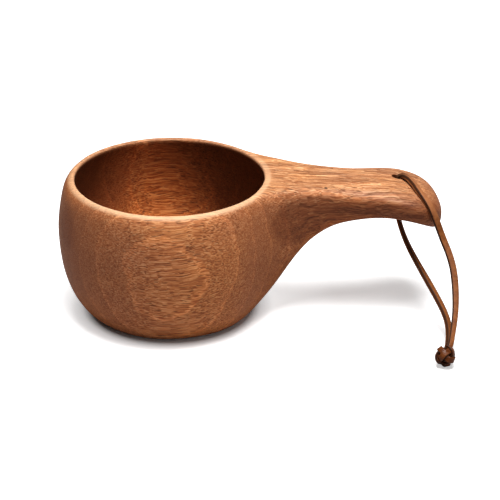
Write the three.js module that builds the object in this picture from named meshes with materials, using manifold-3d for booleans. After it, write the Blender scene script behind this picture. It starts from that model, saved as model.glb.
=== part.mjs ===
// Kuksa: a carved wooden drinking cup with a leather wrist thong. Millimetres, +Z up.
// The origin is the centre of the flat foot; the handle runs along +X.

import * as THREE from 'three';
import { mergeVertices } from 'three/addons/utils/BufferGeometryUtils.js';
import Module from 'manifold-3d';

// ---- driving dimensions ----

const CUP_HEIGHT = 63;

const FOOT_RADIUS = 32;
const BELLY_RADIUS = 49;
const BELLY_LEVEL = 41;
const RIM_RADIUS = 44;
const LIP_ROUND = 1.2;
const FLANK_POWERS = { rise: 2.6, spread: 1.6 };

const MOUTH_RADIUS = 41.3;
const CAVITY_BELLY_RADIUS = 44.3;
const CAVITY_FLOOR_RADIUS = 20;
const CAVITY_FLOOR_LEVEL = 7;
const MOUTH_EASE = 0.7;

// Stations along the handle: distance from the bowl's axis, top and underside levels, half width.
const HANDLE_STATIONS = [
  { x: 26, top: 62.8, underside: 14, halfWidth: 26 },
  { x: 36, top: 62.9, underside: 6, halfWidth: 26 },
  { x: 46, top: 62.8, underside: 11, halfWidth: 21.4 },
  { x: 56, top: 61.8, underside: 27.3, halfWidth: 17.3 },
  { x: 68, top: 60.7, underside: 38, halfWidth: 15.3 },
  { x: 82, top: 60, underside: 42.6, halfWidth: 15.6 },
  { x: 96, top: 58.9, underside: 43.9, halfWidth: 18.2 },
  { x: 109, top: 56.4, underside: 40.1, halfWidth: 21.3 },
  { x: 119.5, top: 56, underside: 29.5, halfWidth: 23.5 },
];
const GRIP_START = 46;
const GRIP_FULL = 84;
const ROOT_TOP_POWER = 7;
const GRIP_TOP_POWER = 2.6;
const UNDERSIDE_POWER = 2.4;
const ROOT_WIDEST = 0.78;
const GRIP_WIDEST = 0.52;
const END_ROUND_START = 98;
const END_ROUND_POWER = 2.3;

const THONG_HOLE = { x: 100.4, y: 3.2, radius: 2.4 };

const THONG_RADIUS = 1.3;
const THONG_SIDES = 8;
const KNOT_RADIUS = 4.7;
const KNOT_CENTRE = new THREE.Vector3(113.6, -65.2, KNOT_RADIUS);

// Each leg of the thong starts half way down the hole and ends against the knot.
const UPPER_ROUTE = [
  [100, 3.5, 51.2], [99.9, 3.5, 53.6], [100, 3.4, 55.8], [100.5, 3.2, 57.6], [101.6, 2.6, 58.9],
  [103.2, 1.4, 59.6], [104.7, -0.6, 59.3], [105.9, -3.3, 58.7], [106.9, -6.6, 58], [107.9, -10, 57.2],
  [109.4, -13.5, 56], [111.5, -16.8, 53.6], [113.6, -18.8, 49.8], [115.2, -19.4, 45.8],
  [116.6, -19.8, 42], [118.2, -21.6, 37.8], [120, -25.1, 33.6], [121.3, -29.7, 28.9],
  [121.6, -34.6, 24.2], [121.3, -39.9, 19.8], [120.5, -45.5, 15.6], [119.2, -51, 12],
  [117.8, -56, 9.4], [116.4, -60.8, 7.4],
];
const LOWER_ROUTE = [
  [100, 3.5, 50.8], [100, 3.5, 48], [100.2, 3.2, 45], [100.5, 2.2, 42], [101.1, 0.2, 38.6],
  [102.1, -2.8, 34.8], [104.1, -6.9, 29.9], [106, -9.8, 26.9], [109, -14.9, 22.1],
  [112.2, -21.2, 17.9], [114.9, -28.1, 14.1], [117.3, -35.6, 10.6], [117.8, -41.4, 8.6],
  [117.1, -48, 6.6], [115.7, -55, 4.8], [114.4, -60.2, 3.8],
];

const wood = new THREE.MeshStandardMaterial({ color: 0x9a6442, roughness: 0.45, metalness: 0 });
const leather = new THREE.MeshStandardMaterial({ color: 0x8c5a34, roughness: 0.6, metalness: 0 });

// ---- solids: joining and cutting ----

const wasm = await Module();
wasm.setup();

function toSolid(geometry) {
  const bare = geometry.clone();
  bare.deleteAttribute('normal');
  bare.deleteAttribute('uv');
  const merged = mergeVertices(bare, 1e-4);
  return new wasm.Manifold(new wasm.Mesh({
    numProp: 3,
    vertProperties: new Float32Array(merged.attributes.position.array),
    triVerts: new Uint32Array(merged.index.array),
  }));
}

function toGeometry(solid) {
  const mesh = solid.getMesh();
  const geometry = new THREE.BufferGeometry();
  geometry.setAttribute('position', new THREE.BufferAttribute(mesh.vertProperties, 3));
  geometry.setIndex(new THREE.BufferAttribute(mesh.triVerts, 1));
  geometry.computeVertexNormals();
  return geometry;
}

// ---- the bowl ----

// The flank between a flat floor and the belly, swelling as a superellipse.
function flank(floorRadius, floorLevel, bellyRadius, bellyLevel, steps) {
  const points = [];
  for (let i = 0; i <= steps; i += 1) {
    const t = Math.cos((i / steps) * (Math.PI / 2));
    const swell = (1 - t ** FLANK_POWERS.rise) ** (1 / FLANK_POWERS.spread);
    const radius = floorRadius + (bellyRadius - floorRadius) * swell;
    points.push(new THREE.Vector2(radius, bellyLevel - (bellyLevel - floorLevel) * t));
  }
  return points;
}

// The shoulder above the belly: an ellipse that draws in to the given radius at the given level.
function shoulder(bellyRadius, bellyLevel, topRadius, topLevel, steps) {
  const reach = (topLevel - bellyLevel) / Math.sqrt(1 - (topRadius / bellyRadius) ** 2);
  const points = [];
  for (let i = 1; i <= steps; i += 1) {
    const level = bellyLevel + ((topLevel - bellyLevel) * i) / steps;
    const radius = bellyRadius * Math.sqrt(1 - ((level - bellyLevel) / reach) ** 2);
    points.push(new THREE.Vector2(radius, level));
  }
  return points;
}

// A quarter round about the given centre, from angle `from` to angle `to` in degrees.
function round(radius, level, size, from, to, steps) {
  const points = [];
  for (let i = 1; i <= steps; i += 1) {
    const angle = THREE.MathUtils.degToRad(from + ((to - from) * i) / steps);
    points.push(new THREE.Vector2(radius + size * Math.cos(angle), level + size * Math.sin(angle)));
  }
  return points;
}

// Lathe geometry turns about +Y, so it is tipped to stand on +Z.
function turned(profile, segments) {
  return new THREE.LatheGeometry(profile, segments).rotateX(Math.PI / 2);
}

function bowlBody() {
  const lipLevel = CUP_HEIGHT - LIP_ROUND;
  return toSolid(turned([
    new THREE.Vector2(0, 0),
    ...flank(FOOT_RADIUS, 0, BELLY_RADIUS, BELLY_LEVEL, 14),
    ...shoulder(BELLY_RADIUS, BELLY_LEVEL, RIM_RADIUS, lipLevel, 6),
    ...round(RIM_RADIUS - LIP_ROUND, lipLevel, LIP_ROUND, 0, 90, 3),
    new THREE.Vector2(0, CUP_HEIGHT),
  ], 56));
}

function cavity() {
  const easeLevel = CUP_HEIGHT - MOUTH_EASE;
  return toSolid(turned([
    new THREE.Vector2(0, CAVITY_FLOOR_LEVEL),
    ...flank(CAVITY_FLOOR_RADIUS, CAVITY_FLOOR_LEVEL, CAVITY_BELLY_RADIUS, BELLY_LEVEL, 12),
    ...shoulder(CAVITY_BELLY_RADIUS, BELLY_LEVEL, MOUTH_RADIUS, easeLevel, 4),
    ...round(MOUTH_RADIUS + MOUTH_EASE, easeLevel, MOUTH_EASE, 180, 90, 2),
    new THREE.Vector2(MOUTH_RADIUS + MOUTH_EASE, CUP_HEIGHT + 2),
    new THREE.Vector2(0, CUP_HEIGHT + 2),
  ], 56));
}

// ---- the handle ----

// The side view and the plan view are smooth curves through the stations.
const sideView = new THREE.CatmullRomCurve3(
  HANDLE_STATIONS.map(({ x, top, underside }) => new THREE.Vector3(x, top, underside)),
  false, 'catmullrom', 0.5,
);
const planView = new THREE.CatmullRomCurve3(
  HANDLE_STATIONS.map(({ x, halfWidth }) => new THREE.Vector3(x, halfWidth, 0)),
  false, 'catmullrom', 0.5,
);

// A point of the handle's skin: `along` runs from 0 at the root to 1 at the end, `angle` goes
// round the section from +Y towards +Z.
function handleSkin(along, angle) {
  const { x, y: top, z: underside } = sideView.getPoint(along);
  const grip = THREE.MathUtils.smoothstep(x, GRIP_START, GRIP_FULL);
  const endReach = HANDLE_STATIONS.at(-1).x - END_ROUND_START;
  const past = THREE.MathUtils.clamp((x - END_ROUND_START) / endReach, 0, 1);
  const close = (1 - past ** END_ROUND_POWER) ** (1 / END_ROUND_POWER);

  const centre = (top + underside) / 2;
  const widest = underside + (top - underside) * THREE.MathUtils.lerp(ROOT_WIDEST, GRIP_WIDEST, grip);
  const upper = Math.sin(angle) >= 0;
  const power = upper ? THREE.MathUtils.lerp(ROOT_TOP_POWER, GRIP_TOP_POWER, grip) : UNDERSIDE_POWER;
  const side = Math.sign(Math.cos(angle)) * Math.abs(Math.cos(angle)) ** (2 / power);
  const lift = Math.sign(Math.sin(angle)) * Math.abs(Math.sin(angle)) ** (2 / power);
  const depth = upper ? top - widest : widest - underside;

  return new THREE.Vector3(
    x,
    planView.getPoint(along).y * close * side,
    centre + (widest - centre + depth * lift) * close,
  );
}

// A ball with its poles at the root and the end of the handle, drawn out to the handle's skin.
function handleBody() {
  const ball = new THREE.SphereGeometry(1, 36, 38).rotateZ(-Math.PI / 2);
  const position = ball.attributes.position;
  const point = new THREE.Vector3();
  for (let i = 0; i < position.count; i += 1) {
    point.fromBufferAttribute(position, i);
    const along = Math.cos(Math.acos(THREE.MathUtils.clamp(point.x, -1, 1)) / 2);
    const skin = handleSkin(along, Math.atan2(point.z, point.y));
    if (Math.hypot(point.y, point.z) < 1e-4) {
      const { x, y: top, z: underside } = sideView.getPoint(along);
      skin.set(x, 0, (top + underside) / 2);
    }
    position.setXYZ(i, skin.x, skin.y, skin.z);
  }
  return toSolid(ball);
}

function thongHole() {
  const drill = new THREE.CylinderGeometry(THONG_HOLE.radius, THONG_HOLE.radius, 40, 20);
  drill.rotateX(Math.PI / 2).translate(THONG_HOLE.x, THONG_HOLE.y, CUP_HEIGHT - 12);
  return toSolid(drill);
}

function cup() {
  const carved = bowlBody().add(handleBody()).subtract(cavity()).subtract(thongHole());
  const mesh = new THREE.Mesh(toGeometry(carved), wood);
  mesh.name = 'cup';
  return mesh;
}

// ---- the thong ----

function thongLeg(name, route) {
  const section = new THREE.Shape();
  for (let i = 0; i < THONG_SIDES; i += 1) {
    const angle = ((i + 0.5) / THONG_SIDES) * 2 * Math.PI;
    const corner = [THONG_RADIUS * Math.cos(angle), THONG_RADIUS * Math.sin(angle)];
    if (i === 0) section.moveTo(...corner);
    else section.lineTo(...corner);
  }
  const path = new THREE.CatmullRomCurve3(route.map((point) => new THREE.Vector3(...point)));
  const geometry = new THREE.ExtrudeGeometry(section, {
    steps: 2 * route.length,
    extrudePath: path,
    bevelEnabled: false,
  });
  const mesh = new THREE.Mesh(geometry, leather);
  mesh.name = name;
  return mesh;
}

function knot() {
  const geometry = new THREE.SphereGeometry(KNOT_RADIUS, 18, 12).rotateX(Math.PI / 2);
  const mesh = new THREE.Mesh(geometry, leather);
  mesh.name = 'knot';
  mesh.position.copy(KNOT_CENTRE);
  return mesh;
}

// ---- the whole kuksa ----

const kuksa = new THREE.Group();
kuksa.add(
  cup(),
  thongLeg('thong_upper', UPPER_ROUTE),
  thongLeg('thong_lower', LOWER_ROUTE),
  knot(),
);

export default kuksa;
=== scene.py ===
import math

import bmesh
import bpy
from mathutils import Matrix, Vector, noise
from mathutils.bvhtree import BVHTree


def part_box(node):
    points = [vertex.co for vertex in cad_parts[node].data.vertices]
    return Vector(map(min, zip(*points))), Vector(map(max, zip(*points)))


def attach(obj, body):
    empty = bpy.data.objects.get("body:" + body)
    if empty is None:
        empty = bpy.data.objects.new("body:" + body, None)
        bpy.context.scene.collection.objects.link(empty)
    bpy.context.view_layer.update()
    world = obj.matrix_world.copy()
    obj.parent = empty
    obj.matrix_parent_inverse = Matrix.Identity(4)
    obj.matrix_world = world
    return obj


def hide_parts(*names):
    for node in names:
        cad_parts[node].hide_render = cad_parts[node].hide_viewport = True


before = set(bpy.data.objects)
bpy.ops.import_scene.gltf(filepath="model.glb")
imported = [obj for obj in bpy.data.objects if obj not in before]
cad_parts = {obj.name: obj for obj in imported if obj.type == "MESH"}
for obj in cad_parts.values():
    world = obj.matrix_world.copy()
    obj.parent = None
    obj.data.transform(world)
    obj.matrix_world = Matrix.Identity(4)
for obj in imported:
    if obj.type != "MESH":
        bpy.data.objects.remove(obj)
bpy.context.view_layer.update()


# ---- The cup ---------------------------------------------------------------------------
# One block of oiled hardwood. The round-bellied bowl and its hollow are turned, and the
# broad handle is carved out of the same block, level with the rim, then drilled at its end.

MM = 0.001

cup_low, cup_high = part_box("cup")
BELLY_RADIUS = -cup_low.x
RIM_LEVEL = cup_high.z
HANDLE_END = cup_high.x

FOOT_RADIUS = 32 * MM
BELLY_LEVEL = 41 * MM
RIM_RADIUS = 44 * MM
LIP_ROUND = 1.2 * MM
MOUTH_RADIUS = 41.3 * MM
HOLLOW_BELLY_RADIUS = 44.3 * MM
HOLLOW_FLOOR_RADIUS = 20 * MM
HOLLOW_FLOOR_LEVEL = 7 * MM
FLANK_RISE, FLANK_SPREAD = 2.6, 1.6

# Along the handle, in mm: distance from the bowl's axis, top, underside and half width.
HANDLE_STATIONS = [
    (26, 62.8, 14, 26), (36, 62.9, 6, 26), (46, 62.8, 11, 21.4), (56, 61.8, 27.3, 17.3),
    (68, 60.7, 38, 15.3), (82, 60, 42.6, 15.6), (96, 58.9, 43.9, 18.2),
    (109, 56.4, 40.1, 21.3), (119.5, 56, 29.5, 23.5),
]
GRIP_START, GRIP_FULL = 46 * MM, 84 * MM
ROOT_TOP_POWER, GRIP_TOP_POWER, UNDERSIDE_POWER = 9, 3.0, 2.4
ROOT_WIDEST, GRIP_WIDEST = 0.80, 0.56
EDGE_CROWDING = 0.45
END_ROUND_START, END_ROUND_POWER = 98 * MM, 2.3
END_REACH = HANDLE_END - END_ROUND_START

# Smoothing draws the blank in a little, so the bowl and the handle are made this much proud.
BOWL_PROUD = 1.006
TOP_PROUD, UNDERSIDE_PROUD, SIDE_PROUD, END_PROUD = 0.1 * MM, 0.3 * MM, 0.4 * MM, 0.3 * MM


def held(value):
    """A value kept between 0 and 1."""
    return min(max(value, 0), 1)


def eased(t):
    """A share from 0 to 1 that starts and ends gently."""
    return t * t * (3 - 2 * t)


def flank_radius(level, floor_radius, floor_level, belly_radius):
    """How far the wall stands from the axis between its floor and the belly."""
    t = held((BELLY_LEVEL - level) / (BELLY_LEVEL - floor_level))
    return floor_radius + (belly_radius - floor_radius) * (1 - t ** FLANK_RISE) ** (1 / FLANK_SPREAD)


def shoulder_radius(level, belly_radius, top_radius, top_level):
    """How far the wall stands from the axis between the belly and the rim."""
    reach = (top_level - BELLY_LEVEL) / math.sqrt(1 - (top_radius / belly_radius) ** 2)
    return belly_radius * math.sqrt(1 - ((level - BELLY_LEVEL) / reach) ** 2)


def bowl_radius(level):
    if level < BELLY_LEVEL:
        return flank_radius(level, FOOT_RADIUS, 0, BELLY_RADIUS)
    top = RIM_LEVEL - LIP_ROUND
    return shoulder_radius(min(level, top), BELLY_RADIUS, RIM_RADIUS, top)


def hollow_radius(level):
    if level < BELLY_LEVEL:
        return flank_radius(level, HOLLOW_FLOOR_RADIUS, HOLLOW_FLOOR_LEVEL, HOLLOW_BELLY_RADIUS)
    return shoulder_radius(level, HOLLOW_BELLY_RADIUS, MOUTH_RADIUS, RIM_LEVEL)


def handle_station(along):
    """Distance, top, underside and half width at a place counted in stations from the root."""
    i = min(int(along), len(HANDLE_STATIONS) - 2)
    t = along - i
    rows = [Vector(row) for row in HANDLE_STATIONS]
    before = rows[i - 1] if i > 0 else 2 * rows[0] - rows[1]
    after = rows[i + 2] if i + 2 < len(rows) else 2 * rows[-1] - rows[-2]
    first, last = rows[i], rows[i + 1]
    out, into = (last - before) / 2, (after - first) / 2
    return (first * (2 * t ** 3 - 3 * t ** 2 + 1) + out * (t ** 3 - 2 * t ** 2 + t)
            + last * (3 * t ** 2 - 2 * t ** 3) + into * (t ** 3 - t ** 2)) * MM


def handle_skin(along, across, down, pole=1.0):
    """A point on the handle's surface. `across` and `down` run from -1 to 1 round the edge of a
    square that is wrapped round the section, and `pole` closes the round end from 1 to 0."""
    x, top, underside, half_width = handle_station(along)
    grip = eased(held((x - GRIP_START) / (GRIP_FULL - GRIP_START)))
    top_power = ROOT_TOP_POWER + (GRIP_TOP_POWER - ROOT_TOP_POWER) * grip
    power = top_power if down < 0 else UNDERSIDE_POWER
    corner = 0.5 ** (1 / power)
    if abs(down) >= abs(across):
        side = across * (1 + EDGE_CROWDING - EDGE_CROWDING * abs(across)) * corner
        lift = -math.copysign((1 - abs(side) ** power) ** (1 / power), down)
    else:
        lift = -down * corner
        side = math.copysign((1 - abs(lift) ** power) ** (1 / power), across)
    past = held((x - END_ROUND_START) / END_REACH)
    close = (1 - past ** END_ROUND_POWER) ** (1 / END_ROUND_POWER) * pole
    if pole < 1:
        x = END_ROUND_START + END_REACH * (1 - close ** END_ROUND_POWER) ** (1 / END_ROUND_POWER)
    centre = (top + underside) / 2
    widest = underside + (top - underside) * (ROOT_WIDEST + (GRIP_WIDEST - ROOT_WIDEST) * grip)
    depth = top - widest + TOP_PROUD if lift > 0 else widest - underside + UNDERSIDE_PROUD
    return Vector((x + END_PROUD * (1 - close), (half_width + SIDE_PROUD) * close * side,
                   centre + (widest - centre + depth * lift) * close))


# The bowl is spun from its profile: foot, flank, shoulder, lip, and the hollow back to the
# axis. Places on the profile are (distance from the axis, level) in mm.
TURNS = 48
FOOT_PLACES = [(0, 0), (16, 0), (28, 0), (33.5, 0.3)]
WALL_LEVELS = [1.8, 5.5, 11, 18.5, 26.5, 34.5, 42.5, 50.5]
OUTER_LIP_PLACES = [(47.05, 57.3), (45.95, 60.1), (44.75, 61.9), (43.3, 62.95)]
INNER_LIP_PLACES = [(42.2, 63.1), (41.45, 62.6), (41.35, 61.3)]
HOLLOW_LEVELS = [56, 49, 42, 35, 28, 21, 14.5, 10, 7.9]
FLOOR_PLACES = [(19, 7), (9, 6.9), (0, 6.9)]


def in_metres(places):
    return [(r * MM, z * MM) for r, z in places]


profile = in_metres(FOOT_PLACES)
profile += [(bowl_radius(z * MM) * BOWL_PROUD, z * MM) for z in WALL_LEVELS]
profile += in_metres(OUTER_LIP_PLACES + INNER_LIP_PLACES)
profile += [(hollow_radius(z * MM) * BOWL_PROUD, z * MM) for z in HOLLOW_LEVELS]
profile += in_metres(FLOOR_PLACES)

bm = bmesh.new()
outline = [bm.verts.new((r, 0, z)) for r, z in profile]
edges = [bm.edges.new(pair) for pair in zip(outline, outline[1:])]
bmesh.ops.spin(bm, geom=outline + edges, cent=(0, 0, 0), axis=(0, 0, 1), angle=math.tau,
               steps=TURNS, use_merge=True)
bmesh.ops.remove_doubles(bm, verts=bm.verts, dist=1e-6)
bmesh.ops.recalc_face_normals(bm, faces=bm.faces)

# The handle grows out of a patch of the wall, ten faces wide and nine deep, ring by ring.
PATCH_HALF_FACES = 5
PATCH_STEP = math.tau / TURNS
PATCH_HALF_ANGLE = PATCH_STEP * PATCH_HALF_FACES
PATCH_LEVELS = [z * MM for z in WALL_LEVELS[2:] + [z for r, z in OUTER_LIP_PLACES]][::-1]
RING_PLACES = [2.2, 2.6, 3.0, 3.4, 3.8, 4.2, 4.55, 4.9, 5.25, 5.6, 5.9, 6.2, 6.5, 6.8, 7.1,
               7.35, 7.57, 7.75, 7.88]
ROOT_HUG, HUG_RINGS = 0.55, 4
EASED_RINGS = 3
NEARLY_RIM = 0.99
NEARLY_MIDDLE = 0.01


def patch_place(v):
    """Where a point of the patch lies, as (across, down) from -1 to 1."""
    faces_across = round((math.atan2(v.co.y, v.co.x) + PATCH_HALF_ANGLE) / PATCH_STEP)
    level = min(range(len(PATCH_LEVELS)), key=lambda j: abs(v.co.z - PATCH_LEVELS[j]))
    return (round(faces_across / PATCH_HALF_FACES - 1, 4),
            round(2 * level / (len(PATCH_LEVELS) - 1) - 1, 4))


def on_patch(face):
    middle = face.calc_center_median()
    return (abs(math.atan2(middle.y, middle.x)) < PATCH_HALF_ANGLE
            and PATCH_LEVELS[-1] < middle.z < PATCH_LEVELS[0] - 0.1 * MM
            and face.normal.dot(middle * Vector((1, 1, 0))) > 0)


def from_middle(spot):
    """How far a place on the patch is from its middle, 0, to its rim, 1."""
    return max(abs(spot[0]), abs(spot[1]))


patch = [f for f in bm.faces if on_patch(f)]
place = {v: patch_place(v) for f in patch for v in f.verts}
root_rim = [v for v, spot in place.items() if from_middle(spot) > NEARLY_RIM]
root = set(root_rim)
for number, along in enumerate(RING_PLACES):
    where = {tuple(v.co): spot for v, spot in place.items()}
    patch_edges = list({e for f in patch for e in f.edges})
    patch_verts = list({v for f in patch for v in f.verts})
    made = bmesh.ops.extrude_face_region(bm, geom=patch + patch_edges + patch_verts)["geom"]
    patch = [g for g in made if isinstance(g, bmesh.types.BMFace)]
    place = {v: where[tuple(v.co)] for f in patch for v in f.verts}
    for v, spot in place.items():
        edge = from_middle(spot)
        across, down = spot
        if edge < NEARLY_MIDDLE:
            across, down, edge = NEARLY_MIDDLE, 0, NEARLY_MIDDLE
        # The first rings are bent round the bowl, so that the web sits close to its wall.
        hug = ROOT_HUG * max(0, 1 - number / HUG_RINGS) * (across / edge) ** 2
        pole = edge if edge < NEARLY_RIM else 1.0
        v.co = handle_skin(along - hug, across / edge, down / edge, pole)
        wall = bowl_radius(v.co.z) * BOWL_PROUD
        if v.co.xy.length < wall and edge > NEARLY_RIM:
            v.co.xy = v.co.xy * (wall / v.co.xy.length)
    if number < EASED_RINGS:
        root.update(v for v, spot in place.items() if from_middle(spot) > NEARLY_RIM)

# The carver eases the root of the handle into the bowl, but leaves the rim's level alone.
EASED_FROM, EASED_TO = 3 * MM, RIM_LEVEL - 2.5 * MM
EASING_PASSES = 3
bmesh.ops.recalc_face_normals(bm, faces=bm.faces)
beside = {e.other_vert(v) for v in root_rim if v.is_valid for e in v.link_edges}
soft = [v for v in root | beside
        if v.is_valid and EASED_FROM < v.co.z < EASED_TO
        and v.co.xy.length > bowl_radius(v.co.z) - 1 * MM]
for _ in range(EASING_PASSES):
    bmesh.ops.smooth_vert(bm, verts=soft, factor=0.5, use_axis_x=True, use_axis_y=True,
                          use_axis_z=True)

rough = bpy.data.meshes.new("cup_blank")
bm.to_mesh(rough)
bm.free()
blank = bpy.data.objects.new("cup_blank", rough)
bpy.context.scene.collection.objects.link(blank)
smoothing = blank.modifiers.new("smooth", "SUBSURF")
smoothing.levels = smoothing.render_levels = 2
bpy.context.view_layer.update()
fine = bpy.data.meshes.new_from_object(blank.evaluated_get(bpy.context.evaluated_depsgraph_get()))
bpy.data.objects.remove(blank)

bm = bmesh.new()
bm.from_mesh(fine)

# Hand sanding leaves the surface a little uneven, in slow waves and in quick ones; the foot
# stays flat. Two pin knots have dropped out of the handle's top and left small pits.
SANDING_WAVES = [(55, 0.16 * MM), (140, 0.05 * MM)]
FOOT_THICKNESS = 0.5 * MM
PIN_KNOTS = [Vector((71.8, 9.0, 59.9)) * MM, Vector((67.3, -11.8, 60.2)) * MM]
PIN_RADIUS = 0.65 * MM
PIN_DEPTH = 0.3 * MM
for v in bm.verts:
    if min((v.co - pin).length for pin in PIN_KNOTS) < 1.6 * PIN_RADIUS:
        v.co -= v.normal * PIN_DEPTH
    if v.co.z > FOOT_THICKNESS:
        v.co += v.normal * sum(noise.noise(v.co * pace) * height for pace, height in SANDING_WAVES)

# The hole for the thong is drilled through the handle's end and its edges are eased.
DRILL = Vector((100.4, 3.2)) * MM
DRILL_RADIUS = 2.4 * MM
DRILL_WORK_RADIUS = 5 * MM
HANDLE_MIDDLE_LEVEL = 50 * MM
EASED_EDGE = 0.35 * MM
near = [f for f in bm.faces if (f.calc_center_median().xy - DRILL).length < DRILL_WORK_RADIUS]
bmesh.ops.subdivide_edges(bm, edges=list({e for f in near for e in f.edges}), cuts=1,
                          use_grid_fill=True)
surface = BVHTree.FromBMesh(bm)
chips = [v for v in bm.verts if (v.co.xy - DRILL).length < DRILL_RADIUS]
bmesh.ops.delete(bm, geom=chips, context="VERTS")
mouths = [e for e in bm.edges if e.is_boundary]
for v in {v for e in mouths for v in e.verts}:
    edge_place = DRILL + (v.co.xy - DRILL).normalized() * DRILL_RADIUS
    down = -1 if v.co.z > HANDLE_MIDDLE_LEVEL else 1
    start = Vector((*edge_place, v.co.z - down * 10 * MM))
    hit = surface.ray_cast(start, Vector((0, 0, down)))[0]
    v.co = hit if hit else Vector((*edge_place, v.co.z))
bmesh.ops.bridge_loops(bm, edges=mouths)
bmesh.ops.bevel(bm, geom=mouths, offset=EASED_EDGE, segments=2, profile=0.5, affect="EDGES",
                material=-1)
bmesh.ops.recalc_face_normals(bm, faces=bm.faces)

# Two masks for the wood's colour: a painted highlight on the lip, strongest on the near side, and painted
# shade in the hollow from just under the rim and in the hole.
LIP_DEPTH = 2 * MM
LIP_OUTSIDE = OUTER_LIP_PLACES[2][0] * MM
LIP_FADE = 1 * MM
LIP_HIGHLIGHT_MEAN, LIP_HIGHLIGHT_SWING = 0.55, 0.45
HOLLOW_SHADE_START, HOLLOW_SHADE_FADE = 0.5 * MM, 1.2 * MM
hollow_shade_layer = bm.verts.layers.float.new("hollow")
lip_highlight_layer = bm.verts.layers.float.new("lip")
for v in bm.verts:
    level, radius = v.co.z, v.co.xy.length
    # The lip gets a painted highlight, strongest on the near side and weakest on the far side.
    if level > RIM_LEVEL - LIP_DEPTH:
        lip_highlight_share = LIP_HIGHLIGHT_MEAN - LIP_HIGHLIGHT_SWING * v.co.y / radius
        v[lip_highlight_layer] = lip_highlight_share * held((LIP_OUTSIDE - radius) / LIP_FADE)
    if level > HOLLOW_FLOOR_LEVEL - 1 * MM and radius < (bowl_radius(level) + hollow_radius(level)) / 2:
        v[hollow_shade_layer] = held((RIM_LEVEL - HOLLOW_SHADE_START - level) / HOLLOW_SHADE_FADE)
    # The drilled hole is filled with painted shade too.
    if (v.co.xy - DRILL).length < DRILL_RADIUS + 0.1 * MM:
        v[hollow_shade_layer] = 1
for f in bm.faces:
    f.smooth = True
bm.to_mesh(fine)
bm.free()
fine.name = "carved_cup"
cup = bpy.data.objects.new("carved_cup", fine)
bpy.context.scene.collection.objects.link(cup)


def add_node(tree, kind, inputs=None, **settings):
    """One shader node, with its settings made and its inputs set or joined by name or number."""
    node = tree.nodes.new(kind)
    for name, value in settings.items():
        setattr(node, name, value)
    for socket, value in (inputs or {}).items():
        if isinstance(value, bpy.types.NodeSocket):
            tree.links.new(value, node.inputs[socket])
        else:
            node.inputs[socket].default_value = value
    return node


def new_material(name, **finish):
    """A material with its Principled shader, whose even values are set on its own sockets."""
    material = bpy.data.materials.new(name)
    material.use_nodes = True
    shader = material.node_tree.nodes["Principled BSDF"]
    for socket, value in finish.items():
        shader.inputs[socket.replace("_", " ")].default_value = value
    return material, material.node_tree, shader


def scaled(tree, place, scale, shift=(0, 0, 0)):
    """The place, scaled and then shifted along each axis."""
    return add_node(tree, "ShaderNodeMapping", {"Vector": place, "Location": shift,
                                                "Scale": scale}).outputs[0]


def clouds(tree, place, paces, detail=2.0, roughness=0.5, read="Fac"):
    """Soft noise, with `paces` clouds to the millimetre along each axis: few to the millimetre
    draws them out into streaks."""
    return add_node(tree, "ShaderNodeTexNoise", {"Vector": scaled(tree, place, paces), "Scale": 1.0,
                                                 "Detail": detail, "Roughness": roughness}).outputs[read]


def cells(tree, place, paces):
    """How far a spot is from the middle of its cell, with `paces` cells to the millimetre."""
    return add_node(tree, "ShaderNodeTexVoronoi", {"Vector": scaled(tree, place, paces),
                                                   "Scale": 1.0}).outputs["Distance"]


def reckon(tree, operation, *values):
    return add_node(tree, "ShaderNodeMath", dict(enumerate(values)), operation=operation).outputs[0]


def reckon_place(tree, operation, *values, read="Vector"):
    return add_node(tree, "ShaderNodeVectorMath", dict(enumerate(values)), operation=operation).outputs[read]


def split_place(tree, place):
    return add_node(tree, "ShaderNodeSeparateXYZ", {"Vector": place}).outputs


def fade(tree, value, low, high, at_low=0.0, at_high=1.0):
    """A value that goes from `at_low` to `at_high` while the given one goes from low to high."""
    return add_node(tree, "ShaderNodeMapRange", {"Value": value, "From Min": low, "From Max": high,
                                                 "To Min": at_low, "To Max": at_high}).outputs[0]


def ramp(tree, value, stops):
    """A colour ramp with the given (place, colour) stops; a plain number makes a grey."""
    node = add_node(tree, "ShaderNodeValToRGB", {"Fac": value})
    while len(node.color_ramp.elements) < len(stops):
        node.color_ramp.elements.new(0.5)
    for element, (stop, colour) in zip(node.color_ramp.elements, stops):
        element.position = stop
        element.color = (*colour, 1) if isinstance(colour, tuple) else (colour, colour, colour, 1)
    return node.outputs["Color"]


def stained(tree, base, share, colour, blend="MIX"):
    """The base with a share of another colour laid over it, or multiplied into it."""
    colour = (*colour, 1) if isinstance(colour, tuple) else colour
    return add_node(tree, "ShaderNodeMix", {"Factor": share, 6: base, 7: colour}, data_type="RGBA",
                    blend_type=blend).outputs[2]


def tinted(tree, base, share, colour):
    return stained(tree, base, share, colour, blend="MULTIPLY")


def finish_surface(tree, shader, colour, roughness, relief, strength):
    """Join the changing colour, roughness and fine relief to the shader."""
    bump = add_node(tree, "ShaderNodeBump", {"Height": relief, "Distance": 0.12 * MM, "Strength": strength})
    tree.links.new(colour, shader.inputs["Base Color"])
    tree.links.new(roughness, shader.inputs["Roughness"])
    tree.links.new(bump.outputs[0], shader.inputs["Normal"])


wood, tree, shader = new_material("oiled_wood", IOR=1.4, Specular_IOR_Level=0.35)
coordinates = add_node(tree, "ShaderNodeTexCoord").outputs
block = scaled(tree, coordinates["Object"], (1 / MM, 1 / MM, 1 / MM))
block_parts = split_place(tree, block)
facing = split_place(tree, coordinates["Normal"])

# The grain runs along the handle and wanders a little, in slow bends and in quick ripples. So
# the vessels are cut long where the surface follows the grain and short where it crosses it.
GRAIN_BENDS = [((0.03, 0.06, 0.06), 5.0), ((0.22, 0.12, 0.12), 1.3)]
grain = block
for paces, reach in GRAIN_BENDS:
    drift = clouds(tree, block, paces, read="Color")
    drift = reckon_place(tree, "SUBTRACT", drift, (0.5, 0.5, 0.5))
    drift = reckon_place(tree, "MULTIPLY", drift, (0, reach, reach))
    grain = reckon_place(tree, "ADD", grain, drift)

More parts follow.
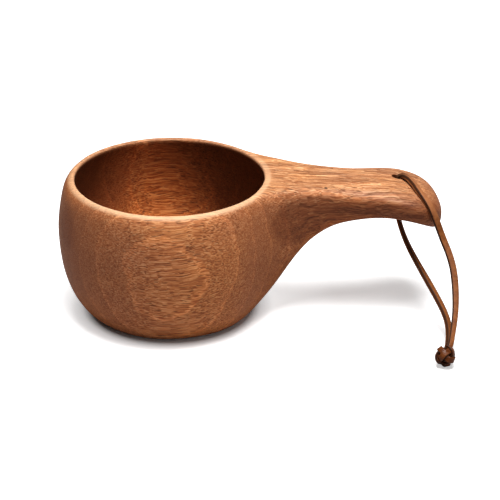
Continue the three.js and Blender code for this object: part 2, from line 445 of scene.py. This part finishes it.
# Vessels: fine dark lines and wider pores among them. Fibres: paler and finer still.
vessels = ramp(tree, cells(tree, grain, (0.09, 1.35, 1.35)), [(0.17, 1.0), (0.36, 0.0)])
pores = ramp(tree, cells(tree, grain, (0.11, 0.62, 0.62)), [(0.10, 0.9), (0.20, 0.0)])
vessels = reckon(tree, "MAXIMUM", vessels, pores)
fibres = ramp(tree, cells(tree, grain, (0.03, 1.7, 1.7)), [(0.15, 1.0), (0.42, 0.0)])

# The body colour: streaks and hairs of lighter and darker fibre, in warmer and cooler patches.
FIBRE_COLOURS = [(0.36, (0.26, 0.074, 0.020)), (0.5, (0.53, 0.198, 0.066)), (0.64, (0.76, 0.39, 0.17))]
PATCH_TINTS = [(0.38, (0.88, 0.83, 0.95)), (0.62, (1.12, 1.03, 0.93))]
HAIR_SHARE = 0.45
streaks = clouds(tree, grain, (0.05, 1.7, 1.7), roughness=0.55)
hairs = clouds(tree, grain, (0.09, 2.6, 2.6), detail=1.0)
figure = add_node(tree, "ShaderNodeMix", {"Factor": HAIR_SHARE, 2: streaks, 3: hairs}).outputs[0]
patches = clouds(tree, block, (0.012, 0.025, 0.025))
body = tinted(tree, ramp(tree, figure, FIBRE_COLOURS), 1.0, ramp(tree, patches, PATCH_TINTS))

# Yearly growth: layers of wood that stand on edge, each ending in a pale line.
YEAR_WIDTH = 7.5
YEAR_LEAN = 0.12
YEAR_WANDER = 24.0
YEAR_TINTS = [(0.0, 0.86), (0.3, 0.91), (0.80, 0.98), (0.91, 1.21), (0.955, 1.16), (1.0, 0.86)]
grain_parts = split_place(tree, grain)
years = reckon(tree, "MULTIPLY_ADD", grain_parts["Z"], YEAR_LEAN, grain_parts["Y"])
wander = clouds(tree, block, (0.010, 0.016, 0.016), detail=0.5)
years = reckon(tree, "MULTIPLY_ADD", wander, YEAR_WANDER, years)
years = reckon(tree, "FRACT", reckon(tree, "MULTIPLY", years, 1 / YEAR_WIDTH))
body = tinted(tree, body, 1.0, ramp(tree, years, YEAR_TINTS))

# Broad streaks, which show most on the handle, where the surface follows the grain.
BROAD_TINTS = [(0.37, (0.68, 0.62, 0.58)), (0.5, (1.0, 1.0, 1.0)), (0.63, (1.16, 1.20, 1.16))]
broad = clouds(tree, grain, (0.02, 0.42, 0.42))
broad_share = fade(tree, block_parts["X"], 30.0, 60.0, 0.35, 0.95)
body = tinted(tree, body, broad_share, ramp(tree, broad, BROAD_TINTS))

# A darker band runs the length of the block, low on the handle's near side: partly the wood's own dark
# streaks, partly painted shade on that side, which the overhead light misses.
STREAK_SHADE_SCALE, STREAK_SHADE_SHIFT = (0.0, 1.0, 0.75), (0, 17.0, -35.2)
STREAK_SHADE_CORE, STREAK_SHADE_EDGE = 5.5, 9.0
STREAK_SHADE_TINT = (0.50, 0.40, 0.33)
streak_and_shade = reckon_place(tree, "LENGTH", scaled(tree, grain, STREAK_SHADE_SCALE, STREAK_SHADE_SHIFT), read="Value")
body = tinted(tree, body, fade(tree, streak_and_shade, STREAK_SHADE_CORE, STREAK_SHADE_EDGE, 1.0, 0.0), STREAK_SHADE_TINT)

# End grain drinks more oil, so it is darker and plainer than the long grain.
END_GRAIN_COLOUR = (0.26, 0.080, 0.027)
FIBRE_LINE_COLOUR = (0.20, 0.066, 0.026)
VESSEL_COLOUR = (0.10, 0.032, 0.012)
FIBRE_SHARE = 0.28
end_grain = reckon(tree, "ABSOLUTE", facing["X"])
body = stained(tree, body, fade(tree, end_grain, 0.15, 0.95, 0.0, 0.75), END_GRAIN_COLOUR)
body = stained(tree, body, reckon(tree, "MULTIPLY", fibres, FIBRE_SHARE), FIBRE_LINE_COLOUR)
vessel_share = reckon(tree, "MULTIPLY", vessels, fade(tree, end_grain, 0.25, 0.75, 0.8, 0.32))
body = stained(tree, body, vessel_share, VESSEL_COLOUR)

# The pits of the pin knots get nearly black painted shade, deeper than their shallow dents.
PIT_SHADE_COLOUR = (0.045, 0.016, 0.007)
for pin in PIN_KNOTS:
    from_pin = reckon_place(tree, "DISTANCE", block, pin / MM, read="Value")
    pit_shade = fade(tree, from_pin, 0.8 * PIN_RADIUS / MM, 1.5 * PIN_RADIUS / MM, 0.9, 0.0)
    body = stained(tree, body, pit_shade, PIT_SHADE_COLOUR)

# Painted light: what faces up is made a little paler and yellower, as if lit from above, and the lip gets a
# painted highlight, strongest on the near side.
TOP_LIGHT_TINT = (1.0, 1.16, 1.30)
LIP_HIGHLIGHT_COLOUR = (0.92, 0.60, 0.36)
LIP_HIGHLIGHT_SHARE = 0.50
body = tinted(tree, body, fade(tree, facing["Z"], 0.55, 0.95), TOP_LIGHT_TINT)
lip = add_node(tree, "ShaderNodeAttribute", attribute_name="lip").outputs["Fac"]
body = stained(tree, body, reckon(tree, "MULTIPLY", lip, LIP_HIGHLIGHT_SHARE), LIP_HIGHLIGHT_COLOUR)

# Painted shade in the hollow: darkest to both sides, and lighter low in the middle, where the light falls.
HOLLOW_SHADE_TINTS = [(0.0, (1.00, 0.82, 0.62)), (0.35, (0.68, 0.52, 0.38)), (0.75, (0.24, 0.16, 0.11)),
             (1.0, (0.20, 0.13, 0.09))]
HOLLOW_SHADE_CENTRE = -9.0
HOLLOW_SHADE_LEVEL_SHARE = 0.45
inside = add_node(tree, "ShaderNodeAttribute", attribute_name="hollow").outputs["Fac"]
aside = reckon(tree, "ABSOLUTE", reckon(tree, "ADD", block_parts["X"], -HOLLOW_SHADE_CENTRE))
hollow_shade_depth = reckon(tree, "MULTIPLY_ADD", block_parts["Z"], HOLLOW_SHADE_LEVEL_SHARE, aside)
body = tinted(tree, body, inside, ramp(tree, fade(tree, hollow_shade_depth, 18.0, 58.0), HOLLOW_SHADE_TINTS))

# Vessels are open, so they are dull and a little sunk.
dryness = fade(tree, vessels, 0.0, 1.0, 0.55, 0.8)
relief = reckon(tree, "MULTIPLY", vessels, -0.7)
relief = reckon(tree, "MULTIPLY_ADD", fibres, -0.25, relief)
finish_surface(tree, shader, body, dryness, relief, strength=0.6)

cup.data.materials.append(wood)
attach(cup, "root")
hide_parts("cup")


# ---- The knot --------------------------------------------------------------------------
# The two ends of the lace are tied in a button knot, a woven ball that lies on the table. Its
# strand is the same leather lace as the thong, pulled a little narrower.

knot_low, knot_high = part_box("knot")
KNOT_CENTRE = (knot_low + knot_high) / 2
KNOT_RADIUS = (knot_high.z - knot_low.z) / 2
LACE_WIDTH = 3.0 * MM
LACE_CORNER = 0.28
PINCH_START, PINCH_LENGTH = 0.72, 0.2
STRAND_WIDTH = LACE_WIDTH * 0.88
STRAND_THICKNESS = 1.15 * MM
STRAND_INSET, WEAVE_DEPTH = 1.04, 0.44
KNOT_STEPS = 288
KNOT_TURNS = 3
KNOT_BIGHTS = 4
KNOT_LATITUDE = math.radians(52)
KNOT_AXIS = Vector((0.25, 0.88, 0.40)).normalized()


def lace_section(width, thickness):
    """A flat leather lace cut across: a rectangle with rounded corners, sixteen points."""
    w, t, r = width / 2, thickness / 2, min(width, thickness) * LACE_CORNER
    corners = [(w - r, t - r, 0), (-w + r, t - r, 90), (-w + r, -t + r, 180), (w - r, -t + r, 270)]
    return [(x + r * math.cos(math.radians(a + turn)), y + r * math.sin(math.radians(a + turn)))
            for x, y, a in corners for turn in (0, 30, 60, 90)]


def lay_lace(name, centres, faces_out, width, thickness, closed=False, pinch=0.0):
    """A lace along `centres`, its grain side turned towards `faces_out`, and squeezed narrower
    by `pinch` towards its end. The mesh has a map: across the lace from 0 to 1, and along it
    in centimetres."""
    section = lace_section(width, thickness)
    count = len(centres)
    bm = bmesh.new()
    ring = bmesh.ops.create_circle(bm, segments=len(section), radius=width / 2, cap_ends=False)["verts"]
    edges = list({e for v in ring for e in v.link_edges})
    rings = []
    for k, centre in enumerate(centres):
        before = centres[(k - 1) % count] if closed or k else centre
        after = centres[(k + 1) % count] if closed or k + 1 < count else centre
        tangent = (after - before).normalized()
        up = (faces_out[k] - tangent * faces_out[k].dot(tangent)).normalized()
        side = tangent.cross(up)
        if k:
            made = bmesh.ops.extrude_edge_only(bm, edges=edges)["geom"]
            previous = {tuple(v.co): n for n, v in enumerate(ring)}
            fresh = [g for g in made if isinstance(g, bmesh.types.BMVert)]
            ring = sorted(fresh, key=lambda v: previous[tuple(v.co)])
            edges = [g for g in made if isinstance(g, bmesh.types.BMEdge)
                     and all(v in fresh for v in g.verts)]
        squeeze = 1 - pinch * eased(held((k / count - PINCH_START) / PINCH_LENGTH))
        for v, (x, y) in zip(ring, section):
            v.co = centre + side * x * squeeze + up * y
        rings.append(list(ring))
    if closed:
        first_edges = [bm.edges.get((rings[0][n], rings[0][n - 1])) for n in range(len(section))]
        bmesh.ops.bridge_loops(bm, edges=edges + first_edges)
    else:
        for end in (rings[0], rings[-1]):
            bmesh.ops.contextual_create(bm, geom=end)
    bmesh.ops.recalc_face_normals(bm, faces=bm.faces)

    # Where a face spans the seam of the map, its later corners count on past the end.
    number = {v: (k, n) for k, row in enumerate(rings) for n, v in enumerate(row)}
    lengths = [0.0]
    for a, b in zip(centres, centres[1:]):
        lengths.append(lengths[-1] + (b - a).length)
    uv = bm.loops.layers.uv.new("lace")
    for f in bm.faces:
        f.smooth = True
        spots = [number[v] for v in f.verts]
        wrap_u = max(n for _, n in spots) - min(n for _, n in spots) > 2
        wrap_v = max(k for k, _ in spots) - min(k for k, _ in spots) > 2
        for corner in f.loops:
            k, n = number[corner.vert]
            u = (n + (len(section) if wrap_u and n < 2 else 0)) / len(section)
            v = lengths[k] if not (wrap_v and k < 2) else lengths[-1] + lengths[1] * (k + 1)
            corner[uv].uv = (u, v / (10 * MM))
    mesh = bpy.data.meshes.new(name)
    bm.to_mesh(mesh)
    bm.free()
    lace = bpy.data.objects.new(name, mesh)
    bpy.context.scene.collection.objects.link(lace)
    return lace


# The strand goes three times round the ball and to and fro four times, over and under.
turned_ball = KNOT_AXIS.to_track_quat("Z", "X").to_matrix()
centres, faces_out = [], []
for k in range(KNOT_STEPS):
    s = math.tau * k / KNOT_STEPS
    longitude = KNOT_TURNS * s
    latitude = KNOT_LATITUDE * math.cos(KNOT_BIGHTS * s)
    weave = math.sin(2 * KNOT_BIGHTS * s)
    radius = KNOT_RADIUS + STRAND_THICKNESS * (WEAVE_DEPTH * weave - STRAND_INSET)
    way = turned_ball @ Vector((math.cos(latitude) * math.cos(longitude),
                                math.cos(latitude) * math.sin(longitude), math.sin(latitude)))
    centres.append(KNOT_CENTRE + way * radius)
    faces_out.append(way)
knot = lay_lace("button_knot", centres, faces_out, STRAND_WIDTH, STRAND_THICKNESS, closed=True)

leather, tree, shader = new_material("leather_lace", IOR=1.4, Specular_IOR_Level=0.25)
across_lace = split_place(tree, add_node(tree, "ShaderNodeUVMap", uv_map="lace").outputs[0])["X"]
skin_place = add_node(tree, "ShaderNodeTexCoord").outputs["Object"]
skin_place = scaled(tree, skin_place, (1 / MM, 1 / MM, 1 / MM))

# The grain side is paler high up, where it lies over the handle.
GRAIN_SIDE_COLOURS = [(0.3, (0.13, 0.034, 0.007)), (0.55, (0.21, 0.066, 0.015)), (0.8, (0.29, 0.103, 0.030))]
UPPER_LACE_COLOUR = (0.50, 0.20, 0.085)
hide = clouds(tree, skin_place, (0.5, 0.5, 0.5), detail=4.0, roughness=0.65)
height = split_place(tree, skin_place)["Z"]
skin = stained(tree, ramp(tree, hide, GRAIN_SIDE_COLOURS), fade(tree, height, 44.0, 55.0, 0.0, 0.4),
               UPPER_LACE_COLOUR)

# Two of the four sides are cut edges, which are darker: they come round twice in the map.
CUT_EDGE_COLOUR = (0.045, 0.013, 0.003)
CUT_EDGE_PHASE = -0.60
edge_wave = reckon(tree, "MULTIPLY_ADD", across_lace, 2 * math.tau, CUT_EDGE_PHASE)
cut_edge = ramp(tree, reckon(tree, "COSINE", edge_wave), [(0.15, 0.0), (0.55, 1.0)])
skin = stained(tree, skin, cut_edge, CUT_EDGE_COLOUR)

# Painted shade blackens the lace where it comes out of the hole. The knot is darker than the rest of the
# lace, and shinier.
HOLE_SHADE_COLOUR = (0.035, 0.012, 0.004)
HOLE_SHADE_CENTRE = (100.8, 3.0, 57.0)
KNOT_TINT = (0.52, 0.44, 0.44)
from_hole = reckon_place(tree, "DISTANCE", skin_place, HOLE_SHADE_CENTRE, read="Value")
skin = stained(tree, skin, fade(tree, from_hole, 2.5, 7.5, 0.85, 0.0), HOLE_SHADE_COLOUR)
from_knot = reckon_place(tree, "DISTANCE", skin_place, KNOT_CENTRE / MM, read="Value")
near_knot = fade(tree, from_knot, 4.2, 7.0, 1.0, 0.0)
skin = tinted(tree, skin, near_knot, KNOT_TINT)
rubbed = reckon(tree, "MULTIPLY_ADD", near_knot, -0.28, fade(tree, hide, 0.0, 1.0, 0.45, 0.7))

# Fine pebbles and creases in the skin.
pebble = cells(tree, skin_place, (3.0, 3.0, 3.0))
creases = clouds(tree, skin_place, (1.4, 1.4, 1.4), detail=3.0)
relief = reckon(tree, "MULTIPLY_ADD", pebble, 0.5, creases)
finish_surface(tree, shader, skin, rubbed, relief, strength=0.5)

knot.data.materials.append(leather)
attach(knot, "root")
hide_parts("knot")


# ---- The thong -------------------------------------------------------------------------
# One flat lace of tanned leather goes through the hole. Its upper leg lies over the end of
# the handle and its lower leg hangs under it, and both run down to the knot on the table.

# Routes in mm, from the hole to the knot.
UPPER_ROUTE = [
    (101, 3.5, 51.2), (100.9, 3.5, 53.6), (100.9, 3.4, 55.8), (101.3, 3.2, 57.6), (102.1, 2.5, 58.6),
    (103.3, 1.3, 59.1), (104.7, -0.6, 58.8), (105.9, -3.3, 58.3), (106.9, -6.6, 58), (107.9, -10, 57.2),
    (109.4, -13.5, 56), (111.5, -16.8, 53.6), (113.6, -18.8, 49.8), (115.2, -19.4, 45.8),
    (116.6, -19.8, 42), (118.2, -21.6, 37.8), (120, -25.1, 33.6), (121.3, -29.7, 28.9),
    (121.6, -34.6, 24.2), (121.3, -39.9, 19.8), (120.5, -45.5, 15.6), (119.2, -51, 12),
    (117.8, -56, 9.4), (116.4, -60.8, 7.4),
]
LOWER_ROUTE = [
    (100, 3.5, 50.8), (100, 3.5, 48), (100.2, 3.2, 45), (100.5, 2.2, 42), (101.1, 0.2, 38.6),
    (102.1, -2.8, 34.8), (104.1, -6.9, 29.9), (106, -9.8, 26.9), (109, -14.9, 22.1),
    (112.2, -21.2, 17.9), (114.9, -28.1, 14.1), (117.6, -35.6, 10.6), (118.5, -41.4, 8.8),
    (118.1, -48, 7), (116.6, -55, 5.4), (114.9, -60.2, 4.2),
]
# How the grain side turns away from the front: (share of the length, degrees).
UPPER_TWIST = [(0, -72), (0.14, -70), (0.26, -64), (0.38, -52), (0.55, -16), (1, -6)]
LOWER_TWIST = [(0, -84), (0.25, -76), (0.6, -50), (1, -28)]
UPPER_EXIT, LOWER_EXIT = 58.5 * MM, 43.5 * MM
UPPER_EASING, LOWER_EASING = 4, 50
LACE_THICKNESS = 2.0 * MM
LACE_PINCH = 0.25
DEPTH_IN_KNOT = 0.55
PIECES_PER_STRETCH = 5
FRONT = Vector((-0.06, -0.90, 0.43)).normalized()


def smooth_route(points, easing):
    """Centres of a lace along a smooth curve near the points of its route. Each pass of easing
    takes a little out of its bends."""
    points = [Vector(p) * MM for p in points]
    line = []
    for i in range(len(points) - 1):
        a = points[max(i - 1, 0)]
        b, c = points[i], points[i + 1]
        d = points[min(i + 2, len(points) - 1)]
        for k in range(PIECES_PER_STRETCH):
            t = k / PIECES_PER_STRETCH
            line.append(0.5 * (2 * b + (c - a) * t + (2 * a - 5 * b + 4 * c - d) * t ** 2
                               + (3 * b - a - 3 * c + d) * t ** 3))
    line.append(points[-1])
    for _ in range(easing):
        inner = [(a + 2 * b + c) / 4 for a, b, c in zip(line, line[1:], line[2:])]
        line = [line[0]] + inner + [line[-1]]
    return line


def turn_of_face(twist, share):
    """The lace's twist at a share of its length."""
    for (s0, a0), (s1, a1) in zip(twist, twist[1:]):
        if share <= s1:
            return math.radians(a0 + (a1 - a0) * eased((share - s0) / (s1 - s0)))
    return math.radians(twist[-1][1])


for name, node, route, twist, easing, exit_level, length in (
    ("upper_leg", "thong_upper", UPPER_ROUTE, UPPER_TWIST, UPPER_EASING, UPPER_EXIT, 0.103),
    ("lower_leg", "thong_lower", LOWER_ROUTE, LOWER_TWIST, LOWER_EASING, LOWER_EXIT, 0.090),
):
    into_knot = Vector(route[-1]).lerp(KNOT_CENTRE / MM, DEPTH_IN_KNOT)
    centres = smooth_route(route + [tuple(into_knot)], easing)
    faces_out = []
    for k in range(len(centres)):
        tangent = (centres[min(k + 1, len(centres) - 1)] - centres[max(k - 1, 0)]).normalized()
        toward = (FRONT - tangent * FRONT.dot(tangent)).normalized()
        turn = turn_of_face(twist, k / (len(centres) - 1))
        faces_out.append(Matrix.Rotation(turn, 3, tangent) @ toward)
    lace = lay_lace(name, centres, faces_out, LACE_WIDTH, LACE_THICKNESS, pinch=LACE_PINCH)
    lace.data.materials.append(leather)
    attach(lace, "root")
    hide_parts(node)


# ---- The table, the light and the camera -------------------------------------------------
# A plain pale surface under one wide soft light overhead and a weak one in front, with an even
# light all round. The surface is brighter to the camera than to the cup that stands on it.

bm = bmesh.new()
bmesh.ops.create_grid(bm, x_segments=2, y_segments=2, size=3.0)
ground = bpy.data.meshes.new("table")
bm.to_mesh(ground)
bm.free()
table = bpy.data.objects.new("table", ground)
bpy.context.scene.collection.objects.link(table)

SEEN_WHITE, CAST_WHITE = (0.92, 0.92, 0.92), (0.45, 0.385, 0.35)
GLOW_STOPS = [(0.12, 0.0), (0.20, 0.46), (0.31, 0.72), (0.9, 0.47)]
paper, tree, shader = new_material("pale_paper", Roughness=0.9, Emission_Strength=1.0)
seen = add_node(tree, "ShaderNodeLightPath").outputs["Is Camera Ray"]
lit = stained(tree, (*CAST_WHITE, 1), seen, SEEN_WHITE)
tree.links.new(lit, shader.inputs["Base Color"])
# The camera also sees a glow on the surface, which paints light over its shadows: none right at the foot, so
# the contact shadow stays, most just beyond it, and less farther out, so the handle's shadow still shows.
spot = add_node(tree, "ShaderNodeTexCoord").outputs["Object"]
from_foot = reckon_place(tree, "LENGTH", spot, read="Value")
glow = ramp(tree, fade(tree, from_foot, 0.030, 0.080), GLOW_STOPS)
tree.links.new(reckon(tree, "MULTIPLY", glow, seen), shader.inputs["Emission Color"])
table.data.materials.append(paper)

world = bpy.data.worlds.new("studio")
bpy.context.scene.world = world
world.use_nodes = True
world.node_tree.nodes["Background"].inputs["Color"].default_value = (1.0, 1.0, 1.0, 1)
world.node_tree.nodes["Background"].inputs["Strength"].default_value = 0.06


def soft_light(name, place, aim, power, width=0.5):
    lamp = bpy.data.lights.new(name, "AREA")
    lamp.shape = "RECTANGLE"
    lamp.size = lamp.size_y = width
    lamp.energy = power
    light = bpy.data.objects.new(name, lamp)
    light.location = place
    light.rotation_euler = (Vector(aim) - Vector(place)).to_track_quat("-Z", "Y").to_euler()
    bpy.context.scene.collection.objects.link(light)


soft_light("overhead", place=(0.09, -0.12, 1.0), aim=(0.02, 0, 0), power=17)
soft_light("front", place=(0.35, -0.95, 0.6), aim=(0, 0, 0.03), power=1.2)

AZIMUTH, ELEVATION = math.radians(-4), math.radians(25.71)
AIM = Vector((34.97, -2.45, 27.09)) * MM
CAMERA_DISTANCE = 1.0
LENS, SENSOR_WIDTH = 162.7, 36
away = Vector((math.sin(AZIMUTH) * math.cos(ELEVATION), -math.cos(AZIMUTH) * math.cos(ELEVATION),
               math.sin(ELEVATION)))
camera_data = bpy.data.cameras.new("camera")
camera_data.lens = LENS
camera_data.sensor_width = SENSOR_WIDTH
camera_data.clip_start = 0.05
camera = bpy.data.objects.new("camera", camera_data)
camera.location = AIM + away * CAMERA_DISTANCE
camera.rotation_euler = (-away).to_track_quat("-Z", "Y").to_euler()
bpy.context.scene.collection.objects.link(camera)
bpy.context.scene.camera = camera
bpy.context.scene.view_settings.view_transform = "Standard"
